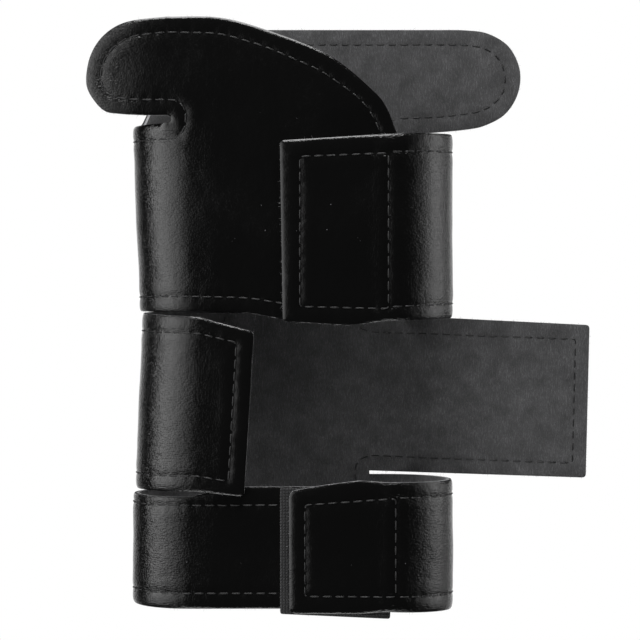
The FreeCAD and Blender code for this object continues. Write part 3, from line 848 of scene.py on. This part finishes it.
def tab_seams(low, high, ring, line_x, back_low, back_high):
    """Stitches of a right tab: a rectangle with its right side at line_x, then two lines round the fold."""
    left, foot_l, foot_r, head_l, head_r = ring
    ring_path = path([(right(left), foot_l), (right(left), head_l), (right(line_x), head_r),
                      (right(line_x), foot_r)], 1.0, closed=True)
    return [ring_path] + [
        path([(right(line_x) - 0.8, z), (BEND + 24, (z + back_z) / 2), (ROOT, back_z)], 3)
        for z, back_z in ((low, back_low), (high, back_high))]


upper_foot = [(ROOT, 92.4), (BEND, 92.4), (BEND + 33, 90.8), (right(BEND), 89.8), (right(17.5), 88.3)]
upper_loop = outline(upper_foot + [(right(-2.6), 89.6, 1.4), (right(-3.5), 143.7, 1.4), (right(15), 144.8),
                                   (right(BEND), 145.6), (BEND + 33, 147.2), (BEND, 148.6), (ROOT, 148.6)])
upper_seams = tab_seams(94.0, 140.3, (2.5, 94.0, 93.4, 138.9, 139.9), 29.0, 97.1, 143.9)
panel("upper_wing", "right", upper_loop, upper_seams, [free(upper_loop, ROOT)],
      layers("upper_right_fold", "upper_tab"), fold_blend("upper_tab"))

lower_loop = outline([(ROOT, 0), (BEND + 10, 0), (BEND + 30, 1.0), (right(BEND), 2.7), (right(20), 2.1),
                      (right(-0.6), 2.1, 2.4), (right(-0.8), 38.7, 2.8), (right(10), 40.6), (right(20), 41.9),
                      (right(BEND), 41.4), (BEND + 33, 40.9), (BEND, 40.8), (ROOT, 40.8)])
lower_seams = tab_seams(7.2, 36.8, (4.0, 7.4, 7.2, 34.7, 36.6), 31.2, 4.7, 36.1)
panel("lower_wing", "right", lower_loop, lower_seams, [free(lower_loop, ROOT)],
      layers("lower_right_fold", "lower_tab"), fold_blend("lower_tab"))


def mid(x):
    return F(x, "tab")


middle_loop = outline([(LEFT_SLIT, 38.2), (mid(-MID_BEND), 38.5), (mid(-14.3), 37.0, 1.6),
                       (mid(-11.3), 86.4, 1.8), (mid(-MID_BEND), 90.9), (MID_BEND + 32, 92.2), (40, 93.0),
                       (LEFT_SLIT, 93.15)])
middle_seams = [path([(LEFT_SLIT, 42.9), (mid(-MID_BEND), 43.2), (mid(-19.0), 41.6), (mid(-16.6), 83.3),
                      (mid(-MID_BEND), 86.0), (MID_BEND + 32, 86.8), (LEFT_SLIT, 86.9)], 1.2)]
panel("middle_wing", "tab", middle_loop, middle_seams, [free(middle_loop, LEFT_SLIT)],
      layers("middle_left_fold", "middle_tab"), fold_blend("middle_tab", MID_INSIDE))

strap_loop = outline([(ROOT, 42.0), (93.3, 39.7, 1.2), (94.5, 88.4, 1.2), (ROOT, 91.9)])
strap_seams = [path([(ROOT, 46.7), (89.0, 44.4), (90.0, 83.9), (ROOT, 86.2)], 1.0)]
panel("middle_strap", None, strap_loop, strap_seams, [free(strap_loop, ROOT)],
      layers("middle_strap"), ["middle_strap", (0.02425, 0.0189, 0.065), (0.056, 0.0189, 0.065)])

hand_edge = curve([(42, 149.6), (55, 150.8), (61.4, 152.2), (67.8, 155.9), (71.7, 162.4), (72.2, 170.0),
                   (68.7, 177.2), (62.2, 181.3), (55, 182.4), (45, 182.5)])
hand_loop = resample(np.vstack([[(33.5, 149.1)], hand_edge, [(33.5, 182.5)]]), 0.9, closed=True)
hand_seam = curve([(33.5, 177.8), (46, 177.8), (55.0, 177.6), (61.0, 176.5), (65.6, 173.0), (67.5, 167.5),
                   (66.4, 161.8), (61.4, 157.4), (54.0, 155.6), (44, 154.7), (33.5, 154.3)], 0.6)
panel("hand_strap", None, hand_loop, [hand_seam], [free(hand_loop, 33.5)],
      layers("hand_strap"), ["hand_strap", (0.0336, 0.0189, 0.166), (0.041, 0.0189, 0.166)])

# %% [markdown]
# ## Hook and loop patches
#
# Loop tape is a soft strip 0.8 mm thick. Hook tape is a ground 0.55 mm thick with rows of small stiff hooks
# that reach about 0.9 mm, each a bent stem with a few faces. Both are flat pieces sewn to a panel.

# %%
LOOP_THICK, HOOK_GROUND = 0.8, 0.55


def patch(name, corners, face_y, out, thick, material_here, body, node_name, slot, sewn_on):
    """A flat strip on a panel. It stands thick mm out from the face at y = face_y, towards out (-1 or 1).

    Its outer face is rounded off towards the rim by 0.25 (1 - e / 0.8)^2 mm, e mm from the cut edge."""
    loop = outline([(x, z, 0.8) for x, z in corners])
    flat, triangles, rim = cut(loop, [], 1.6)
    e = nearest(flat, loop, True)[0]
    top = thick - 0.25 * np.clip(1 - e / 0.8, 0, 1)**2 + 0.05 * waves(flat, 9, 3)
    points = np.vstack([np.stack([flat[:, 0], face_y + out * t, flat[:, 1]], 1)
                        for t in (top, 0 * top + 0.02)])
    n = len(flat)
    rim_quads = np.stack([np.roll(rim, -1), rim, rim + n, np.roll(rim, -1) + n], 1)
    faces = [triangles, triangles[:, ::-1] + n, rim_quads]
    if out > 0:     # the outline runs anticlockwise as seen from -Y, so this face looks the other way
        faces = [f[:, ::-1] for f in faces]
    piece = mesh(name, points, faces, np.vstack([flat, flat]), [material_here])
    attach(piece, body)
    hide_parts(node_name)


def hooks(name, flat_corners, face_y, out, body):
    """Rows of hooks 1.5 mm apart. A hook leans over as it rises: its middle line is the turn
    (0.32 (1 - cos q), 0.34 sin q) mm, q from 0 to 115 degrees, and it is 0.12 mm thick."""
    lo, hi = np.min(flat_corners, 0) + 1.6, np.max(flat_corners, 0) - 1.6
    s, z = np.meshgrid(np.arange(lo[0], hi[0], 1.5), np.arange(lo[1], hi[1], 1.5))
    root = np.stack([s.ravel(), z.ravel()], 1) + rng.normal(0, 0.08, (s.size, 2))
    root = root[inside(root, outline([tuple(c) for c in flat_corners]))]
    q = np.radians([0, 40, 80, 115])
    over, up = 0.32 * (1 - np.cos(q)), 0.34 * np.sin(q)
    lean = np.where(np.arange(len(root)) % 2, 1.0, -1.0)
    x = root[:, 0][:, None, None] + np.array([-0.06, 0.06, 0.06, -0.06])[None, None]
    zz = root[:, 1][:, None, None] + lean[:, None, None] * over[None, :, None] \
        + np.array([-0.06, -0.06, 0.06, 0.06])[None, None]
    y = face_y + out * (HOOK_GROUND + up[None, :, None] - 0.03)
    x, y, zz = (np.broadcast_to(v, (len(root), 4, 4)) for v in (x, y, zz))
    points = np.stack([x, y, zz], 3).reshape(-1, 3)
    k, i, j = np.meshgrid(np.arange(len(root)), np.arange(3), np.arange(4), indexing="ij")
    a, b = (k * 16 + i * 4 + j), (k * 16 + i * 4 + (j + 1) % 4)
    quads = np.stack([a, b, b + 4, a + 4], 3).reshape(-1, 4)
    caps = np.arange(len(root))[:, None] * 16 + np.array([[3, 2, 1, 0]])
    tips = np.arange(len(root))[:, None] * 16 + np.array([[12, 13, 14, 15]])
    faces = np.vstack([quads, caps, tips])
    piece = mesh(name, points, faces if out < 0 else faces[:, ::-1], np.repeat(root, 16, 0), [HOOKS])
    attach(piece, body)
    return len(root)


LOOP_PATCHES = [
    ("palm_loop", [(1.5, 95.2), (25.2, 95.2), (25.2, 139), (1.5, 139)], PANEL_FACE, -1, "cuff",
     "palm_loop_patch", "palm_panel_skin"),
    ("lower_loop", [(-3.5, 1.6), (29.6, 0.1), (30.4, 37.8), (-3.5, 39.6)], PANEL_FACE, -1, "cuff",
     "lower_loop_tape", "lower_front_skin"),
    ("middle_strap_loop", [(58, 47.4), (87.2, 46.6), (88.0, 82.2), (58, 83.0)], BACK_Y, 1, "middle_strap",
     "middle_strap_loop_patch", "middle_strap_skin"),
    ("hand_strap_loop", [(45, 158), (61, 159), (61, 174), (45, 174.5)], BACK_Y, 1, "hand_strap",
     "hand_strap_loop_patch", "hand_strap_skin"),
]
for name, corners, face_y, out, body, cad_node, sewn_on in LOOP_PATCHES:
    patch(name, corners, face_y, out, LOOP_THICK, LOOPS, body, cad_node, "loop_tape", sewn_on)

HOOK_PATCHES = [
    ("upper_hook", [(2.0, 93.5), (27.8, 93.5), (27.8, 139.3), (2.0, 139.3)], RIGHT_INSIDE, 1, "upper_tab",
     "upper_hook_patch", "upper_tab_lining"),
    ("lower_hook", [(4.2, 6.8), (27.8, 6.8), (27.8, 35.0), (4.2, 35.0)], RIGHT_INSIDE, 1, "lower_tab",
     "lower_hook_patch", "lower_tab_lining"),
    ("middle_hook", [(-27.3, 43), (-17.8, 43), (-16.8, 82), (-27.3, 84)], MID_INSIDE, 1, "middle_tab",
     "middle_hook_patch", "middle_tab_lining"),
    ("thumb_fin_hook", [(-56, 157.5), (-43, 157.5), (-43, 175), (-53, 172.5)], FIN_INSIDE, 1, "thumb_fin",
     "thumb_fin_hook_patch", "thumb_fin_lining"),
]
for name, corners, face_y, out, body, cad_node, sewn_on in HOOK_PATCHES:
    patch(f"{name}_tape", corners, face_y, out, HOOK_GROUND, HOOKS, body, cad_node, "hook_tape", sewn_on)
    print(name, hooks(f"{name}s", corners, face_y, out, body), "hooks")

# %% [markdown]
# ## Lights and camera
#
# Black gloss shows its surroundings, not its own colour. Two tall soft boxes at the sides put a bright band
# on each fold, graded so that the band starts sharply and fades towards the middle. A white surround behind
# lights the outlines, and the side of the camera stays dark, so the flat front reads as black. The camera
# sees plain white behind everything, and there is no floor to see.

# %%
world = bpy.data.worlds.new("studio")
bpy.context.scene.world = world
world.use_nodes = True
tree = world.node_tree
tree.nodes.clear()
where = node(tree, "ShaderNodeTexCoord")
parts = node(tree, "ShaderNodeSeparateXYZ", {"Vector": (where, "Generated")})
behind = level(tree, (parts, "Y"), 0.66, 0.95, 0.028, 1.0)
lit = node(tree, "ShaderNodeBackground", {"Color": colour("#ffffff"), "Strength": (behind, 0)})
seen = node(tree, "ShaderNodeBackground", {"Color": colour("#ffffff"), "Strength": 1.0})
ray = node(tree, "ShaderNodeLightPath")
shown = node(tree, "ShaderNodeMixShader", {0: (ray, "Is Camera Ray"), 1: (lit, 0), 2: (seen, 0)})
node(tree, "ShaderNodeOutputWorld", {"Surface": (shown, 0)})


def soft_box(name, place, aim, size, power, ends=(1, 1)):
    """An area light at a place in mm, aimed at a point in mm, graded across its width between two ends."""
    light = bpy.data.lights.new(name, "AREA")
    light.shape, light.size, light.size_y, light.energy = "RECTANGLE", size[0] * MM, size[1] * MM, power
    light.use_nodes = True
    tree = light.node_tree
    place_on_light = node(tree, "ShaderNodeNewGeometry")
    across = node(tree, "ShaderNodeSeparateXYZ", {"Vector": (place_on_light, "Parametric")})
    glow = level(tree, (across, "X"), 0.0, 1.0, *ends)
    tree.links.new(glow.outputs[0], tree.nodes["Emission"].inputs["Strength"])
    lamp = bpy.data.objects.new(name, light)
    bpy.context.scene.collection.objects.link(lamp)
    lamp.location = Vector(place) * MM
    lamp.rotation_euler = (Vector(aim) - Vector(place)).to_track_quat("-Z", "Y").to_euler()


soft_box("left_box", (-560, -440, 190), (-30, 0, 90), (1080, 800), 11.5, (1.0, 0.0))
soft_box("right_box", (660, -50, 190), (30, 0, 90), (640, 700), 4.6, (0.0, 1.0))
soft_box("top_box", (0, -420, 900), (0, 0, 90), (560, 340), 6.5)
soft_box("bottom_box", (0, -300, -700), (0, 0, 60), (700, 300), 3.0)

camera_data = bpy.data.cameras.new("camera")
camera = bpy.data.objects.new("camera", camera_data)
bpy.context.scene.collection.objects.link(camera)
camera.location = Vector((8.5, -620, 90)) * MM
camera.rotation_euler = (math.radians(90), 0, 0)
camera_data.lens, camera_data.sensor_width = 112.5, 36
camera_data.clip_start, camera_data.clip_end = 0.05, 20
bpy.context.scene.camera = camera
bpy.context.scene.view_settings.view_transform = "Standard"
bpy.context.scene.view_settings.look = "None"
print("camera", [round(v, 3) for v in camera.location])
